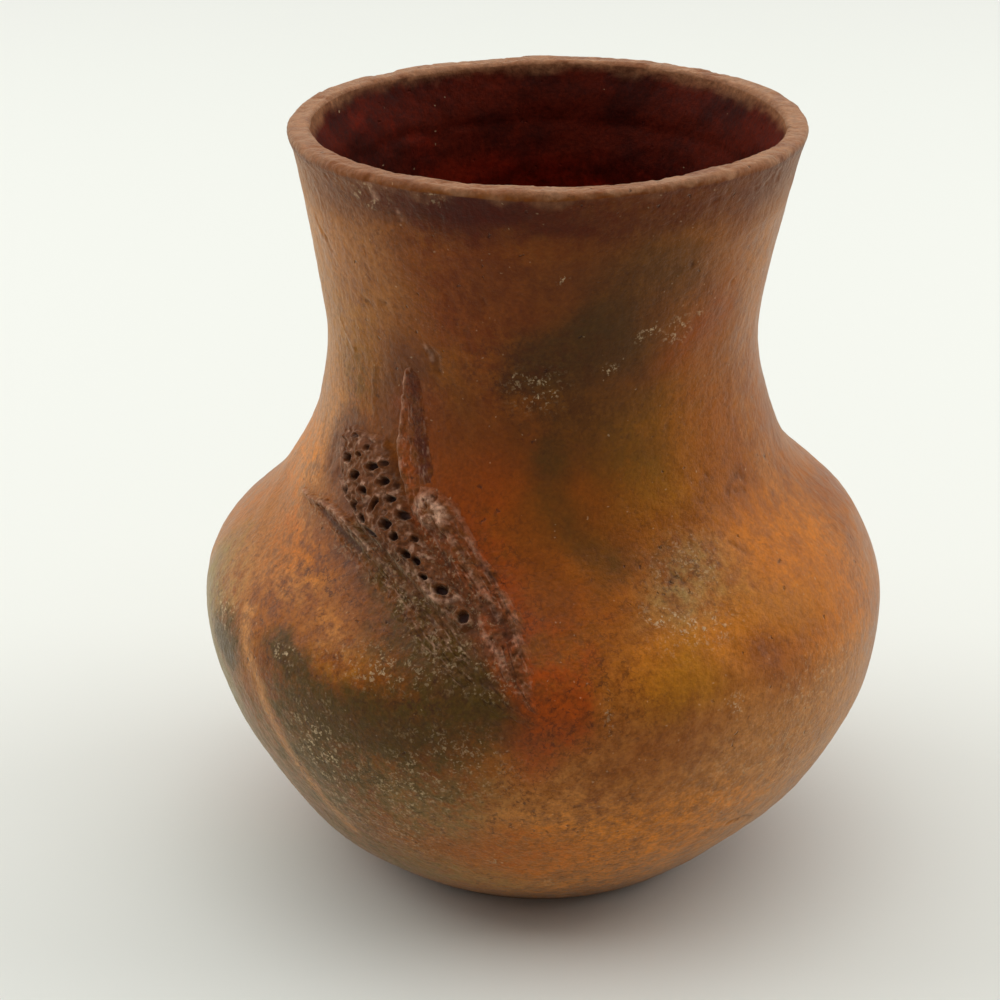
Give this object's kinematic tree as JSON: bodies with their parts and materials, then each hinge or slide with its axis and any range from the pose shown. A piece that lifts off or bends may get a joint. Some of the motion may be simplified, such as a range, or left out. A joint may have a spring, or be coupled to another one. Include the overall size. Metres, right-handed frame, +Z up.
{
  "type": "pottery vase",
  "caption": "Hand-built clay vase with a round belly, a waisted neck, a flared uneven mouth and an ear of corn in relief on the shoulder.",
  "frame": {"origin": "middle of the foot, on the surface that the vase stands on", "axes": "+Z up through the mouth, -Y to the front, +X to the right of someone who looks at the front"},
  "size_m": [0.1616, 0.1633, 0.1817],
  "materials": {
    "burnished_clay": "burnished and open-fired, orange brown with smoke clouds",
    "smoked_rim": "unburnished dark brown lip",
    "punched_relief": "rough smoked clay"
  },
  "bodies": {
    "root": {"foot_dish": "burnished_clay", "body_coil_1": "burnished_clay", "body_coil_2": "burnished_clay", "body_coil_3": "burnished_clay", "body_coil_4": "burnished_clay", "body_coil_5": "burnished_clay", "neck_coil_1": "burnished_clay", "neck_coil_2": "burnished_clay", "neck_coil_3": "burnished_clay", "neck_coil_4": "burnished_clay", "rim_coil": "smoked_rim", "corn_cob": "punched_relief", "left_husk_leaf": "punched_relief", "right_husk_leaf": "punched_relief", "tip_leaf": "punched_relief", "stalk_end": "punched_relief"}
  },
  "joints": []
}
